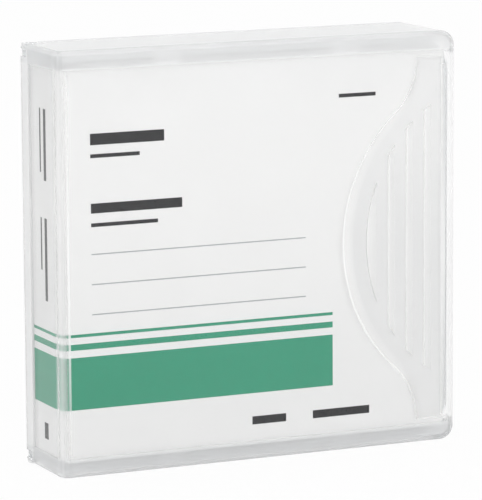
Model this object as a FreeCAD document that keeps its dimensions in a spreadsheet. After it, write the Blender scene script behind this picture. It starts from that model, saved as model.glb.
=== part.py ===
"""Half-inch data tape cartridge shut in its hinged storage case, in millimetres.

Row frame: the case stands on its lower edge. +Z is up, the printed front faces -Y, the spine and
the hinge are on the -X side, and the origin is the middle of the footprint.

The cartridge's own pieces are drawn lying on their underside, with the reel's axis on Z, and a
common placement then stands them in the tray, with the label edge towards the spine.
"""
import FreeCAD, Part
import math
import os
import re

from FreeCAD import Placement, Rotation, Vector

SIZES = {
    # Making: how far a joined piece bites into its neighbour, and a cutter runs past a face
    "bite": 0.2,
    "past": 1.0,
    # Case, outside
    "case_width": 116.5,
    "case_depth": 26.5,
    "case_height": 113.0,
    "front_wall": 1.5,
    "lid_wall": 1.4,
    "outer_corner": 4.0,
    "edge_round": 1.5,
    "spine_round": 3.4,
    "back_panel": 1.25,
    "panel_gap": 0.25,
    # Hinge, at the back of the spine
    "pivot_inset": 2.65,
    "pivot_pin": 1.5,
    "pivot_play": 0.06,
    "ear_radius": 2.4,
    "wall_gap": 0.3,
    "notch_play": 0.35,
    # Returns of the lid at the opening edge
    "return_drop": 6.0,
    "return_depth": 5.25,
    # Tray
    "tray_wall": 1.4,
    "tray_side_wall": 1.8,
    "front_lip": 1.15,
    "tray_corner": 9.0,
    "tray_depth": 22.2,
    "boss_radius": 15.0,
    "boss_bore": 12.0,
    "boss_rise": 1.8,
    "pad_x": 40.0,
    "pad_z": 42.0,
    "pad_half": 2.5,
    "pad_rise": 0.5,
    "stop_half": 32.0,
    "stop_thick": 1.2,
    "stop_rise": 3.5,
    "catch_x": 44.0,
    "catch_half": 2.0,
    "catch_rise": 0.22,
    # Grip recess in the front of the lid
    "recess_depth": 0.75,
    "recess_half": 50.0,
    "recess_apex": 23.9,
    "recess_bend": 47.0,
    "recess_flare": 20.0,
    "recess_right": 55.2,
    "floor_half": 49.2,
    "floor_apex": 27.8,
    "floor_bend": 46.0,
    "floor_flare": 25.0,
    "floor_right": 54.2,
    "rib_rise": 0.55,
    "rib_wide": 2.1,
    "rib_pitch": 5.45,
    "rib_apex": 31.4,
    "rib_bend": 44.0,
    "rib_first": 34.6,
    "rib_edge": 0.25,
    "rib_root": 0.1,
    # Insert card, and the tabs that hold it against the front
    "card_thick": 0.35,
    "card_play": 0.1,
    "card_top": 4.7,
    "card_foot": 3.9,
    "card_right": 55.3,
    "fold_radius": 2.0,
    "card_back": 20.85,
    "tab_x": 26.0,
    "tab_wide": 8.0,
    "tab_thick": 0.8,
    "tab_reach": 4.8,
    # Cartridge shell
    "shell_long": 102.0,
    "shell_wide": 105.4,
    "shell_thick": 21.5,
    "shell_wall": 2.0,
    "shell_floor": 1.5,
    "key_corner": 8.0,
    "shell_round": 2.5,
    "hub_hole": 18.0,
    "label_low": -46.0,
    "label_high": 33.0,
    "label_edge": 2.4,
    "label_depth": 0.4,
    "groove_first": 12.0,
    "groove_pitch": 3.2,
    "groove_wide": 1.6,
    "groove_depth": 0.6,
    # Screws and their posts
    "post_half": 3.6,
    "screw_radius": 1.4,
    "screw_play": 0.2,
    "screw_head": 2.4,
    "screw_end": 16.5,
    "pilot_end": 17.0,
    "head_base": 0.3,
    "head_sink": 1.9,
    "drive_half": 1.3,
    "drive_wide": 0.25,
    "drive_depth": 0.8,
    # Reel
    "flange_radius": 48.5,
    "flange_thick": 1.2,
    "reel_base": 2.4,
    "hub_radius": 22.0,
    "hub_bore": 19.0,
    "tape_width": 12.65,
    "flange_space": 12.8,
    "pack_radius": 45.5,
    "web_base": 4.8,
    "web_thick": 1.4,
    "drive_ring": 15.3,
    "drive_tip": 2.9,
    "plate_radius": 14.0,
    "plate_thick": 1.0,
    "plate_window": 5.8,
    "tooth_play": 0.3,
    "tooth_root": 0.1,
    # Brake
    "brake_disc": 9.5,
    "brake_base": 7.6,
    "brake_thick": 2.0,
    "brake_tooth": 1.1,
    "tooth_ring": 6.0,
    "stem_radius": 3.5,
    "stem_top": 15.0,
    "stem_bore": 2.5,
    "bore_floor": 1.0,
    "key_half": 5.3,
    "key_wide": 0.6,
    "key_drop": 0.5,
    "key_play": 0.3,
    "guide_base": 12.5,
    "guide_wall": 2.0,
    "guide_play": 0.2,
    "slot_half": 7.0,
    "brake_wire": 0.5,
    "brake_coil": 1.95,
    "brake_spring_gap": 0.1,
    # Brake release pad
    "leg_circle": 3.6,
    "leg_half": 1.1,
    "leg_play": 0.2,
    "leg_lift": 0.6,
    "pad_radius": 5.3,
    "pad_gap": 0.3,
    # Leader pin, by the door
    "pin_x": 43.5,
    "pin_y": -46.5,
    "pin_base": 2.5,
    "pin_long": 16.4,
    "pin_core": 1.15,
    "pin_flange": 2.3,
    "pin_flange_thick": 1.2,
    "seat_half": 1.9,
    "clip_radius": 2.1,
    "clip_inset": 1.7,
    "clip_slot": 0.6,
    "leaf_start": 39.0,
    "leaf_thick": 0.3,
    "leaf_inset": 0.1,
    "leaf_wide": 1.4,
    "leader_thick": 0.2,
    "leader_inset": 0.2,
    # Access door
    "door_left": 34.0,
    "door_right": 49.0,
    "door_low": 3.5,
    "door_high": 18.0,
    "door_thick": 1.2,
    "door_gap": 0.3,
    "door_lap": 2.5,
    "door_play": 0.4,
    "window_play": 0.5,
    "grip_wide": 1.8,
    "grip_inset": 0.6,
    "lug_thick": 1.2,
    "lug_reach": 2.4,
    "lug_low": 16.9,
    "lug_high": 19.1,
    "guide_thick": 0.6,
    "guide_rise": 1.1,
    "guide_drop": 0.9,
    "guide_start": 16.0,
    "guide_end": 40.0,
    "top_guide_end": 30.0,
    # Door spring
    "spring_x": 45.5,
    "spring_y": -38.5,
    "spring_post": 1.6,
    "spring_post_low": 16.6,
    "spring_wire": 0.5,
    "spring_play": 0.2,
    "spring_low": 17.3,
    "spring_high": 19.3,
    "spring_arm": 18.4,
    # Write-protect switch
    "switch_low": 36.0,
    "switch_high": 46.0,
    "switch_base": 4.2,
    "switch_top": 17.2,
    "switch_rim": 2.3,
    "switch_long": 5.6,
    "switch_gap": 0.3,
    "switch_thick": 1.0,
    "switch_lap": 2.0,
    "switch_tail": 8.2,
    "switch_face": 0.5,
    "shelf_start": 30.0,
    "shelf_reach": 1.4,
    "shelf_play": 0.1,
    "ridge_first": 1.3,
    "ridge_pitch": 1.4,
    "ridge_wide": 0.7,
    "ridge_depth": 0.9,
    # Memory chip on its small board
    "chip_x": -44.5,
    "chip_y": -46.2,
    "board_wide": 9.0,
    "board_thick": 0.9,
    "board_tall": 14.0,
    "die_side": 3.2,
    "die_thick": 0.5,
    "die_rise": 4.0,
}

RIBS = 4
GROOVES = 5
DRIVE_TEETH = 32
BRAKE_TEETH = 24
DRIVE_SHARE = 0.5
BRAKE_SHARE = 0.36
LEGS = 3
BRAKE_TURNS = 4
DOOR_TURNS = 2
COIL_SIDES = 12
MITRED = 1
SWITCH_RIDGES = 3
POSTS = {
    "front_key": ("42.5", "44.5"),
    "rear_key": ("-42.5", "44.5"),
    "rear_chip": ("-36.5", "-47.2"),
    "front_door": ("46.5", "-31.0"),
}
AXIS = ("0", "0")

doc = FreeCAD.newDocument("data_tape_case")
sheet = doc.addObject("Spreadsheet::Sheet", "Sizes")
for row, (alias, value) in enumerate(SIZES.items(), start=1):
    sheet.set(f"A{row}", alias)
    sheet.set(f"B{row}", str(value))
    sheet.setAlias(f"B{row}", alias)
doc.recompute()


def formula(text):
    """Points each size that a formula names at its cell in the sheet."""
    return re.sub(r"[a-z][a-z_]+", lambda m: "Sizes." + m.group() if m.group() in SIZES else m.group(), text)


def size(alias):
    return float(sheet.get(alias))


# ---- Primitives and booleans, bound to the sheet ----


def box(name, x, y, z):
    """A block between a low and a high formula on each axis."""
    block = doc.addObject("Part::Box", name)
    for side, axis, (low, high) in zip(("Length", "Width", "Height"), "xyz", (x, y, z)):
        block.setExpression(side, formula(f"({high}) - ({low})"))
        block.setExpression(f".Placement.Base.{axis}", formula(low))
    return block


def around(centre, half):
    """The low and the high formula of a span that reaches half to each side of its centre."""
    return (f"({centre}) - ({half})", f"({centre}) + ({half})")


def cylinder(name, radius, centre, reach, along="z"):
    """A round bar between two formulas along one axis, centred on the other two."""
    bar = doc.addObject("Part::Cylinder", name)
    low, high = reach
    bar.setExpression("Radius", formula(radius))
    bar.setExpression("Height", formula(f"({high}) - ({low})"))
    turn = {"z": Rotation(), "y": Rotation(Vector(1, 0, 0), -90)}[along]
    bar.Placement = Placement(Vector(), turn)
    first, second = centre
    corner = {"z": (first, second, low), "y": (first, low, second)}[along]
    for axis, place in zip("xyz", corner):
        bar.setExpression(f".Placement.Base.{axis}", formula(place))
    return bar


def lobed(name, radius, centre, reach):
    """A six-sided bar along Z, as the shank of a thread-forming screw and its pilot hole are."""
    bar = doc.addObject("Part::Prism", name)
    low, high = reach
    bar.Polygon = 6
    bar.setExpression("Circumradius", formula(radius))
    bar.setExpression("Height", formula(f"({high}) - ({low})"))
    for axis, place in zip("xyz", (*centre, low)):
        bar.setExpression(f".Placement.Base.{axis}", formula(place))
    return bar


def fuse(name, *solids):
    joined = doc.addObject("Part::MultiFuse", name)
    joined.Shapes = list(solids)
    joined.Refine = True
    return joined


def cut(name, base, *tools):
    tool = tools[0] if len(tools) == 1 else fuse(name + "_tool", *tools)
    rest = doc.addObject("Part::Cut", name)
    rest.Base, rest.Tool = base, tool
    rest.Refine = True
    return rest


def common(name, first, second):
    both = doc.addObject("Part::Common", name)
    both.Base, both.Tool = first, second
    return both


def feature(name, shape):
    """A solid that Part's own functions make from sizes read from the sheet."""
    solid = doc.addObject("Part::Feature", name)
    solid.Shape = shape
    return solid


def dressed(kind, name, base, length, wanted):
    """Fillets or chamfers the edges whose middle point and direction the test accepts."""
    doc.recompute()
    chosen = []
    for number, edge in enumerate(base.Shape.Edges, start=1):
        middle = edge.valueAt((edge.FirstParameter + edge.LastParameter) / 2)
        if wanted(middle, edge.tangentAt(edge.FirstParameter)):
            chosen.append((number, length, length))
    finished = doc.addObject(kind, name)
    finished.Base = base
    finished.Edges = chosen
    return finished


def rounded(name, base, radius, wanted):
    return dressed("Part::Fillet", name, base, radius, wanted)


def bevelled(name, base, length, wanted):
    return dressed("Part::Chamfer", name, base, length, wanted)


def upright(direction):
    return abs(direction.z) > 0.99


def right_corner(middle, direction):
    """True for the edges that run front to back at the opening side of a case wall."""
    return abs(direction.y) > 0.99 and middle.x > 0


def spine_edge(middle, direction):
    """True for the upright edge where the front of the case meets its spine."""
    return upright(direction) and middle.x < 0 and middle.y < 0


def front_edge(middle, direction):
    """True for the edges of the front of the case, apart from the one at the spine."""
    return abs(middle.y + size("case_depth") / 2) < 0.01 and not spine_edge(middle, direction)


def key_edge(middle, direction):
    """True for the upright edge at the cartridge's bevelled corner."""
    return upright(direction) and middle.x > 0 and middle.y > 0


def plain_corner(middle, direction):
    """True for the upright edges at the cartridge's other three corners."""
    return upright(direction) and (middle.x < 0 or middle.y < 0)


# ---- Case lid ----

PIVOT_X = "-case_width/2 + pivot_inset"
PIVOT_Y = "case_depth/2 - pivot_inset"
PIVOT = (PIVOT_X, PIVOT_Y)
FRONT = "-case_depth/2"
LID_BACK = "case_depth/2 - back_panel - panel_gap"
EAR_LOW = "lid_wall + wall_gap"
EAR_HIGH = "case_height - lid_wall - wall_gap"
BEAD_LOW = f"{EAR_LOW} + tray_wall + wall_gap"
BEAD_HIGH = f"case_height - ({BEAD_LOW})"
RIB_FACE = f"{FRONT} + recess_depth - rib_rise"


def grip_outline(apex, bend, flare, half, right, depth):
    """The D-shaped outline of the grip: a wide arc that turns outwards at both ends."""
    lean = math.asin(half / (bend + flare))
    centre = apex + bend
    join_x = centre - bend * math.cos(lean)
    join_z = bend * math.sin(lean)
    flare_x = centre - (bend + flare) * math.cos(lean)
    end_x = flare_x + flare
    swell_x = flare_x + flare * math.cos(lean / 2)
    swell_z = half - flare * math.sin(lean / 2)
    middle = size("case_height") / 2
    face = -size("case_depth") / 2 + depth

    def at(x, rise):
        return Vector(x, face, middle + rise)

    edges = [
        Part.Arc(at(join_x, -join_z), at(apex, 0), at(join_x, join_z)),
        Part.Arc(at(join_x, join_z), at(swell_x, swell_z), at(end_x, half)),
        Part.LineSegment(at(end_x, half), at(right, half)),
        Part.LineSegment(at(right, half), at(right, -half)),
        Part.LineSegment(at(right, -half), at(end_x, -half)),
        Part.Arc(at(end_x, -half), at(swell_x, -swell_z), at(join_x, -join_z)),
    ]
    return Part.Wire([edge.toShape() for edge in edges])


def grip_recess():
    """A shallow hollow that slopes from its rim on the front down to a flat floor."""
    sides = ("apex", "bend", "flare", "half", "right")
    rim = grip_outline(*[size(f"recess_{side}") for side in sides], 0)
    floor = grip_outline(*[size(f"floor_{side}") for side in sides], size("recess_depth"))
    return feature("grip_recess", Part.makeLoft([rim, floor], True, True))


def grip_ribs():
    """Upright ribs on the floor of the recess, bevelled, and cut to one arc at their ends."""
    reach = (RIB_FACE, f"{FRONT} + recess_depth + rib_root")
    tall = around("case_height/2", "recess_half")
    strips = []
    for count in range(RIBS):
        right = f"rib_first + {count}*rib_pitch"
        wide = "rib_pitch" if count == 0 else "rib_wide"
        strips.append(box(f"grip_rib_{count}", (f"{right} - {wide}", right), reach, tall))
    face = size("recess_depth") - size("rib_rise") - size("case_depth") / 2

    def long_edge(middle, direction):
        return upright(direction) and abs(middle.y - face) < 0.01

    ribs = bevelled("grip_rib_edges", fuse("grip_rib_strips", *strips), size("rib_edge"), long_edge)
    bow = cylinder("grip_rib_bow", "rib_bend", ("rib_apex + rib_bend", "case_height/2"), reach, along="y")
    return common("grip_ribs", ribs, bow)


def lid_hollow():
    """What the lid leaves free: the room inside, and the mouth between its two returns."""
    inside_back = "case_depth/2 + past"
    inside_front = f"{FRONT} + front_wall"
    outside_right = "case_width/2 + past"
    room = box(
        "lid_room",
        ("-case_width/2 + lid_wall", "case_width/2 - lid_wall"),
        (inside_front, inside_back),
        ("lid_wall", "case_height - lid_wall"),
    )
    room = rounded("lid_room_round", room, size("outer_corner") - size("lid_wall"), right_corner)
    room = rounded("lid_room_spine", room, size("fold_radius") + size("card_play"), spine_edge)
    mouth = box(
        "lid_mouth",
        ("case_width/2 - 2*outer_corner", outside_right),
        (inside_front, inside_back),
        ("return_drop", "case_height - return_drop"),
    )
    deep_mouth = box(
        "lid_deep_mouth",
        ("case_width/2 - outer_corner", outside_right),
        (f"{FRONT} + return_depth", inside_back),
        ("outer_corner", "case_height - outer_corner"),
    )
    return fuse("lid_hollow", room, mouth, deep_mouth)


def lid_notches():
    """Room at both ends of the spine for the tray's hinge ears."""
    across = ("-case_width/2 - past", PIVOT_X)
    deep = (f"{PIVOT_Y} - ear_radius - notch_play", "case_depth/2 + past")
    return [
        box("lower_notch", across, deep, ("lid_wall", BEAD_LOW)),
        box("upper_notch", across, deep, (BEAD_HIGH, "case_height - lid_wall")),
    ]


def lid_hinge():
    """The bead along the back of the spine, and the ears that its pins turn in."""
    return [
        cylinder("hinge_bead", "pivot_inset", PIVOT, (BEAD_LOW, BEAD_HIGH)),
        cylinder("lower_ear", "pivot_inset", PIVOT, ("0", "lid_wall")),
        cylinder("upper_ear", "pivot_inset", PIVOT, ("case_height - lid_wall", "case_height")),
    ]


def card_tabs():
    """Four tabs from the lower and upper walls, which hold the card against the front."""
    behind = f"{FRONT} + front_wall + card_play + card_thick"
    deep = (behind, f"{behind} + tab_thick")
    foot = ("lid_wall - bite", "lid_wall + tab_reach")
    head = ("case_height - lid_wall - tab_reach", "case_height - lid_wall + bite")
    tabs = []
    for side, middle in (("left", "-tab_x"), ("right", "tab_x")):
        across = around(middle, "tab_wide/2")
        tabs.append(box(f"lower_{side}_tab", across, deep, foot))
        tabs.append(box(f"upper_{side}_tab", across, deep, head))
    return tabs


def case_lid():
    """Front, spine, lower and upper wall in one, with the grip recess and the hinge."""
    block = box("lid_block", ("-case_width/2", "case_width/2"), (FRONT, LID_BACK), ("0", "case_height"))
    block = rounded("lid_block_corners", block, size("outer_corner"), right_corner)
    block = rounded("lid_block_spine", block, size("spine_round"), spine_edge)
    block = rounded("lid_block_edges", block, size("edge_round"), front_edge)
    shell = cut("lid_shell", block, lid_hollow())
    notched = cut("lid_notched", shell, *lid_notches())
    walls = fuse("lid_walls", notched, *lid_hinge(), *card_tabs())
    hole = "pivot_pin + pivot_play"
    bores = [
        cylinder("lower_bore", hole, PIVOT, ("-past", "lid_wall + bite")),
        cylinder("upper_bore", hole, PIVOT, ("case_height - lid_wall - bite", "case_height + past")),
    ]
    recessed = cut("lid_recessed", walls, grip_recess(), *bores)
    return fuse("case_lid", recessed, grip_ribs())


def insert_card():
    """One sheet of card folded round the inside of the spine and the front."""
    left = "-case_width/2 + lid_wall + card_play"
    face = f"{FRONT} + front_wall + card_play"
    tall = ("card_foot", "case_height - card_top")
    outside = box("card_outside", (left, "card_right"), (face, f"{FRONT} + card_back"), tall)
    inside = box(
        "card_inside",
        (f"{left} + card_thick", "card_right + past"),
        (f"{face} + card_thick", f"{FRONT} + card_back + past"),
        ("0", "case_height"),
    )
    outside = rounded("card_fold", outside, size("fold_radius"), spine_edge)
    inside = rounded("card_fold_inside", inside, size("fold_radius") - size("card_thick"), spine_edge)
    return cut("insert_card", outside, inside)


# ---- Case tray ----

PANEL_FACE = "case_depth/2 - back_panel"
PANEL_LEFT = f"{PIVOT_X} + pivot_inset + wall_gap"
TRAY_RIGHT = "case_width/2 - front_lip"


def tray_frame():
    """The three inner walls, joined round the corners at the opening side."""
    deep = (f"{PANEL_FACE} - tray_depth", f"{PANEL_FACE} + bite")
    outside = box("frame_outside", (PIVOT_X, TRAY_RIGHT), deep, (EAR_LOW, EAR_HIGH))
    outside = rounded("frame_outside_round", outside, size("tray_corner"), right_corner)
    inside = box(
        "frame_inside",
        (f"{PIVOT_X} - past", f"{TRAY_RIGHT} - tray_side_wall"),
        (f"{PANEL_FACE} - tray_depth - past", f"{PANEL_FACE} + past"),
        (f"{EAR_LOW} + tray_wall", f"{EAR_HIGH} - tray_wall"),
    )
    inside = rounded("frame_inside_round", inside, size("tray_corner") - size("tray_side_wall"), right_corner)
    return cut("tray_frame", outside, inside)


def tray_hinge():
    """An ear on each wall, with the pin that turns in the lid."""
    return [
        cylinder("lower_hinge_ear", "ear_radius", PIVOT, (EAR_LOW, f"{EAR_LOW} + tray_wall")),
        cylinder("upper_hinge_ear", "ear_radius", PIVOT, (f"{EAR_HIGH} - tray_wall", EAR_HIGH)),
        cylinder("lower_pivot_pin", "pivot_pin", PIVOT, ("bite", f"{EAR_LOW} + bite")),
        cylinder("upper_pivot_pin", "pivot_pin", PIVOT, (f"{EAR_HIGH} - bite", "case_height - bite")),
    ]


def hub_boss():
    """The raised ring on the panel that locates the cartridge by its hub opening."""
    middle = ("0", "case_height/2")
    top = f"{PANEL_FACE} - boss_rise"
    return cut(
        "hub_boss",
        cylinder("boss_outside", "boss_radius", middle, (top, PANEL_FACE), along="y"),
        cylinder("boss_inside", "boss_bore", middle, (f"{top} - past", PANEL_FACE), along="y"),
    )


def rest_pads():
    """Four low pads on the panel, which the cartridge's underside lies on."""
    deep = (f"{PANEL_FACE} - pad_rise", f"{PANEL_FACE} + bite")
    pads = []
    for side, x in (("left", "-pad_x"), ("right", "pad_x")):
        for level, z in (("lower", "-pad_z"), ("upper", "pad_z")):
            tall = around(f"case_height/2 + {z}", "pad_half")
            pads.append(box(f"{level}_{side}_pad", around(x, "pad_half"), deep, tall))
    return pads


def lid_catches():
    """A low bump on each outer face of the walls, which the lid snaps over."""
    across, deep = around("catch_x", "catch_half"), around("0", "catch_half")
    return [
        box("lower_catch", across, deep, (f"{EAR_LOW} - catch_rise", f"{EAR_LOW} + bite")),
        box("upper_catch", across, deep, (f"{EAR_HIGH} - bite", f"{EAR_HIGH} + catch_rise")),
    ]


def case_tray():
    """The back panel with the walls that hold the cartridge."""
    deep = (PANEL_FACE, "case_depth/2")
    panel = box("back_panel", (PANEL_LEFT, "case_width/2"), deep, ("0", "case_height"))
    panel = rounded("back_panel_round", panel, size("outer_corner"), right_corner)
    stop = box(
        "left_stop",
        (PANEL_LEFT, f"{PANEL_LEFT} + stop_thick"),
        (f"{PANEL_FACE} - stop_rise", f"{PANEL_FACE} + bite"),
        around("case_height/2", "stop_half"),
    )
    fittings = [stop, *rest_pads(), *lid_catches(), *tray_hinge()]
    return fuse("case_tray", panel, tray_frame(), hub_boss(), *fittings)


# ---- Cartridge shell ----

HALF = "shell_thick/2"
ROOF = "shell_thick - shell_floor"
REAR = "-shell_long/2"
LEAD = "shell_long/2"
DOOR_SIDE = "-shell_wide/2"
KEY_SIDE = "shell_wide/2"
DOOR_FACE = f"{DOOR_SIDE} + shell_wall + door_gap"
PIN = ("pin_x", "pin_y")
SPRING = ("spring_x", "spring_y")


def shell_half(part, low, high, room_low, room_high):
    """One half of the shell as an open box, with the bevelled key corner and rounded others."""
    block = box(f"{part}_block", (REAR, LEAD), (DOOR_SIDE, KEY_SIDE), (low, high))
    block = bevelled(f"{part}_key", block, size("key_corner"), key_edge)
    block = rounded(f"{part}_round", block, size("shell_round"), plain_corner)
    room = box(
        f"{part}_room",
        (f"{REAR} + shell_wall", f"{LEAD} - shell_wall"),
        (f"{DOOR_SIDE} + shell_wall", f"{KEY_SIDE} - shell_wall"),
        (room_low, room_high),
    )
    room_key = size("key_corner") - (2 - math.sqrt(2)) * size("shell_wall")
    room = bevelled(f"{part}_room_key", room, room_key, key_edge)
    return cut(f"{part}_tub", block, room)


def side_windows(part):
    """The door's opening, the switch's window, the label recess and the finger grooves."""
    tools = [
        box(
            f"{part}_door_opening",
            ("door_left", "door_right"),
            (f"{DOOR_SIDE} - past", f"{DOOR_SIDE} + shell_wall + window_play"),
            ("door_low", "door_high"),
        ),
        box(
            f"{part}_switch_window",
            (f"{REAR} - past", f"{REAR} + shell_wall + window_play"),
            ("switch_low", "switch_high"),
            ("switch_base + switch_rim", "switch_top - switch_rim"),
        ),
        box(
            f"{part}_label_recess",
            (f"{REAR} - past", f"{REAR} + label_depth"),
            ("label_low", "label_high"),
            ("label_edge", "shell_thick - label_edge"),
        ),
    ]
    sides = {
        "door": (f"{DOOR_SIDE} - past", f"{DOOR_SIDE} + groove_depth"),
        "key": (f"{KEY_SIDE} - groove_depth", f"{KEY_SIDE} + past"),
    }
    for count in range(GROOVES):
        x = f"{REAR} + groove_first + {count}*groove_pitch"
        for side, y in sides.items():
            groove = (x, f"{x} + groove_wide")
            tools.append(box(f"{part}_{side}_groove_{count}", groove, y, ("-past", "shell_thick + past")))
    return tools


def post(name, centre, reach):
    """A square post for one screw."""
    x, y = centre
    return box(name, around(x, "post_half"), around(y, "post_half"), reach)


def shell_bottom():
    """The half with the hub opening and the screws' sunk heads."""
    tub = shell_half("bottom", "0", HALF, "shell_floor", f"{HALF} + past")
    posts = []
    drills = [cylinder("hub_opening", "hub_hole", AXIS, ("-past", HALF))]
    for name, centre in POSTS.items():
        posts.append(post(f"{name}_post", centre, ("0", HALF)))
        drills.append(lobed(f"{name}_hole", "screw_radius + screw_play", centre, ("-past", f"{HALF} + past")))
        drills.append(cylinder(f"{name}_sink", "screw_head + screw_play", centre, ("-past", "head_sink")))
    guides = [
        box(
            "door_guide_low",
            ("guide_start", "guide_end"),
            (f"{DOOR_FACE} + door_thick + door_gap", f"{DOOR_FACE} + door_thick + door_gap + guide_thick"),
            ("shell_floor - bite", "shell_floor + guide_rise"),
        ),
        box(
            "switch_shelf_low",
            (f"{REAR} + shell_wall - bite", f"{REAR} + shell_wall + shelf_reach"),
            ("shelf_start", f"{KEY_SIDE} - shell_wall + bite"),
            ("shell_floor - bite", "switch_base"),
        ),
        box(
            "pin_seat_low",
            around("pin_x", "seat_half"),
            around("pin_y", "seat_half"),
            ("shell_floor - bite", "pin_base"),
        ),
    ]
    return cut("shell_bottom", fuse("bottom_built", tub, *posts, *guides), *drills, *side_windows("bottom"))


def shell_top():
    """The half with the brake's guide and the door spring's post."""
    tub = shell_half("top", HALF, "shell_thick", f"{HALF} - past", ROOF)
    posts, drills = [], []
    pilot = (f"{HALF} - past", "pilot_end")
    for name, centre in POSTS.items():
        posts.append(post(f"{name}_boss", centre, (HALF, f"{ROOF} + bite")))
        drills.append(lobed(f"{name}_pilot", "screw_radius + screw_play", centre, pilot))
    guide_radius = "stem_radius + guide_play + guide_wall"
    inner = [
        cylinder("brake_guide", guide_radius, AXIS, ("guide_base", f"{ROOF} + bite")),
        cylinder("door_spring_post", "spring_post", SPRING, ("spring_post_low", f"{ROOF} + bite")),
        box(
            "pin_seat_high",
            around("pin_x", "seat_half"),
            around("pin_y", "seat_half"),
            ("pin_base + pin_long", f"{ROOF} + bite"),
        ),
        box(
            "door_guide_high",
            ("guide_start", "top_guide_end"),
            (f"{DOOR_FACE} + door_thick + door_gap", f"{DOOR_FACE} + door_thick + door_gap + guide_thick"),
            (f"{ROOF} - guide_drop", f"{ROOF} + bite"),
        ),
        box(
            "switch_shelf_high",
            (f"{REAR} + shell_wall - bite", f"{REAR} + shell_wall + shelf_reach"),
            ("shelf_start", f"{KEY_SIDE} - shell_wall + bite"),
            ("switch_top + shelf_play", f"{ROOF} + bite"),
        ),
    ]
    slot = box(
        "brake_key_slot",
        around("0", "slot_half"),
        around("0", "key_wide + key_play"),
        ("guide_base - past", ROOF),
    )
    bore = cylinder("brake_guide_bore", "stem_radius + guide_play", AXIS, ("guide_base - past", ROOF))
    return cut("shell_top", fuse("top_built", tub, *posts, *inner), bore, slot, *drills, *side_windows("top"))


def shell_screws():
    """Four screws with a cross recess, driven from the underside."""
    screws = []
    for name, centre in POSTS.items():
        x, y = centre
        deep = ("head_base - past", "head_base + drive_depth")
        long_x, long_y = around(x, "drive_half"), around(y, "drive_half")
        short_x, short_y = around(x, "drive_wide"), around(y, "drive_wide")
        blank = fuse(
            f"{name}_blank",
            cylinder(f"{name}_head", "screw_head", centre, ("head_base", "head_sink")),
            lobed(f"{name}_shank", "screw_radius", centre, ("head_sink - bite", "screw_end")),
        )
        cross = [
            box(f"{name}_slot_x", long_x, short_y, deep),
            box(f"{name}_slot_y", short_x, long_y, deep),
        ]
        screws.append(cut(f"{name}_screw", blank, *cross))
    return fuse("shell_screws", *screws)


# ---- Reel ----

SEAT = "reel_base + flange_thick + flange_space"


def tooth_wedge(inner, outer, low, high, share):
    """One radial tooth whose flanks follow the radius, as wide as a share of a full turn."""
    half = math.pi * share
    corners = [(inner, -half), (outer, -half), (outer, half), (inner, half), (inner, -half)]
    points = [Vector(reach * math.cos(angle), reach * math.sin(angle), low) for reach, angle in corners]
    return Part.Face(Part.makePolygon(points)).extrude(Vector(0, 0, high - low))


def tooth_ring(name, count, share, ring, reach, shift=0.0):
    """Teeth spread evenly round a face, as one set; each is a share of its pitch wide."""
    tooth = tooth_wedge(*ring, *reach, share / count)
    teeth = []
    for step in range(count):
        copy = tooth.copy()
        copy.rotate(Vector(), Vector(0, 0, 1), 360.0 * (step + shift) / count)
        teeth.append(copy)
    return feature(name, Part.makeCompound(teeth))


def brake_ring():
    """Inner and outer radius of the brake's teeth."""
    return (size("tooth_ring"), size("brake_disc") - size("tooth_play"))


def leg_bars(name, half, reach):
    """Three square bars evenly round the reel's axis, for the release pad's legs."""
    bars = []
    for step in range(LEGS):
        bar = box(f"{name}_{step}", around("leg_circle", half), around("0", half), reach)
        turned = doc.addObject("Part::Compound", f"{name}_turned_{step}")
        turned.Links = [bar]
        turned.Placement = Placement(Vector(), Rotation(Vector(0, 0, 1), 90 + 360 * step / LEGS))
        bars.append(turned)
    return bars


def reel_hub():
    """Hub, web and lower flange, turned as one profile, with teeth on both faces of the web."""
    base, thick = size("reel_base"), size("flange_thick")
    web, web_top = size("web_base"), size("web_base") + size("web_thick")
    seat = base + thick + size("flange_space")
    bore, hub, flange = size("hub_bore"), size("hub_radius"), size("flange_radius")
    outline = [
        (0, web), (bore, web), (bore, base), (flange, base), (flange, base + thick),
        (hub, base + thick), (hub, seat), (bore, seat), (bore, web_top), (0, web_top), (0, web),
    ]
    wire = Part.makePolygon([Vector(reach, 0, rise) for reach, rise in outline])
    turned = feature("hub_turned", Part.Face(wire).revolve(Vector(), Vector(0, 0, 1), 360))
    root = size("tooth_root")
    drive_reach = (size("drive_tip"), web + root)
    drive_span = (size("drive_ring"), bore - size("tooth_play"))
    drive = tooth_ring("drive_teeth", DRIVE_TEETH, DRIVE_SHARE, drive_span, drive_reach)
    lock_reach = (web_top - root, web_top + size("brake_tooth"))
    lock = tooth_ring("lock_teeth", BRAKE_TEETH, BRAKE_SHARE, brake_ring(), lock_reach)
    holes = leg_bars("leg_hole", "leg_half + leg_play", ("web_base - past", "web_base + web_thick + past"))
    return cut("reel_hub", fuse("hub_toothed", turned, drive, lock), *holes)


def reel_upper_flange():
    disc = cylinder("flange_disc", "flange_radius", AXIS, (SEAT, f"{SEAT} + flange_thick"))
    bore = cylinder("flange_bore", "hub_bore", AXIS, (f"{SEAT} - past", f"{SEAT} + flange_thick + past"))
    return cut("reel_upper_flange", disc, bore)


def tape_pack():
    """The tape wound on the hub, as one solid ring."""
    reach = ("reel_base + flange_thick", "reel_base + flange_thick + tape_width")
    disc = cylinder("pack_disc", "pack_radius", AXIS, reach)
    return cut("tape_pack", disc, cylinder("pack_bore", "hub_radius", AXIS, ("0", "shell_thick")))


def reel_drive_plate():
    """The steel disc on the underside of the web, open in the middle for the pad's legs."""
    disc = cylinder("plate_disc", "plate_radius", AXIS, ("web_base - plate_thick", "web_base"))
    across = around("0", "plate_window")
    return cut("reel_drive_plate", disc, box("plate_opening", across, across, ("0", "shell_thick")))


# ---- Brake ----


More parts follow.
